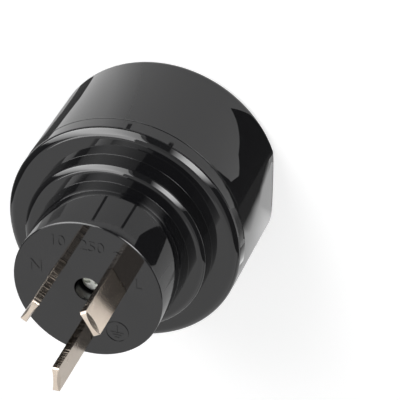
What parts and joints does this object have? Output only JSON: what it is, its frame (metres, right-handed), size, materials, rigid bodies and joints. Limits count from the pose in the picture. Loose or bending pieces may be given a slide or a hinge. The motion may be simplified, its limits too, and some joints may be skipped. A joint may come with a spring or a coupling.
{
  "type": "travel adapter",
  "caption": "Round earthed travel adapter: a recessed socket with side earth clips and a sprung red shutter, and a stepped plug with two slanted blades and an earth blade.",
  "frame": {"origin": "middle of the socket rim, on the plane that the part stands on", "axes": "+Z along the body, out along the plug blades; +X to the right looking at the plug face with the earth blade at -Y"},
  "size_m": [0.0553, 0.0554, 0.075],
  "materials": {
    "black_plastic": "polished black moulding",
    "inner_plastic": "plain black moulding",
    "red_plastic": "red moulding",
    "plated_brass": "nickel-plated brass",
    "contact_brass": "bare rolled brass",
    "clip_metal": "nickel-plated spring bronze",
    "zinc_steel": "zinc-plated steel",
    "spring_steel": "spring steel"
  },
  "bodies": {
    "housing": {"socket_shell": "black_plastic", "plug_shell": "black_plastic", "shutter_spring": "spring_steel", "shutter_cover": "inner_plastic", "contact_carrier": "inner_plastic", "blade_holder": "inner_plastic", "live_blade": "plated_brass", "neutral_blade": "plated_brass", "earth_blade": "plated_brass", "live_contact": "contact_brass", "neutral_contact": "contact_brass", "live_jaw_spring": "spring_steel", "neutral_jaw_spring": "spring_steel", "contact_rivets": "contact_brass", "earth_bracket": "contact_brass", "earth_link": "contact_brass", "clip_rivets": "contact_brass", "bracket_screws": "zinc_steel", "assembly_screw": "zinc_steel"},
    "shutter": {"shutter_rotor": "red_plastic"},
    "clip_upper": {"earth_clip_upper": "clip_metal"},
    "clip_lower": {"earth_clip_lower": "clip_metal"}
  },
  "joints": [
    {"name": "shutter_turn", "type": "hinge", "parent": "housing", "child": "shutter", "pos_m": [0, 0, 0.0198], "axis": [0, 0, 1], "range_deg": [0, 38], "stiffness_Nm_per_rad": 0.01, "deforming": ["shutter_spring"]},
    {"name": "clip_upper_flex", "type": "hinge", "parent": "housing", "child": "clip_upper", "pos_m": [0, 0.02357, 0.02], "axis": [1, 0, 0], "range_deg": [0, 7], "stiffness_Nm_per_rad": 0.5},
    {"name": "clip_lower_flex", "type": "hinge", "parent": "housing", "child": "clip_lower", "pos_m": [0, -0.02357, 0.02], "axis": [-1, 0, 0], "range_deg": [0, 7], "stiffness_Nm_per_rad": 0.5}
  ]
}
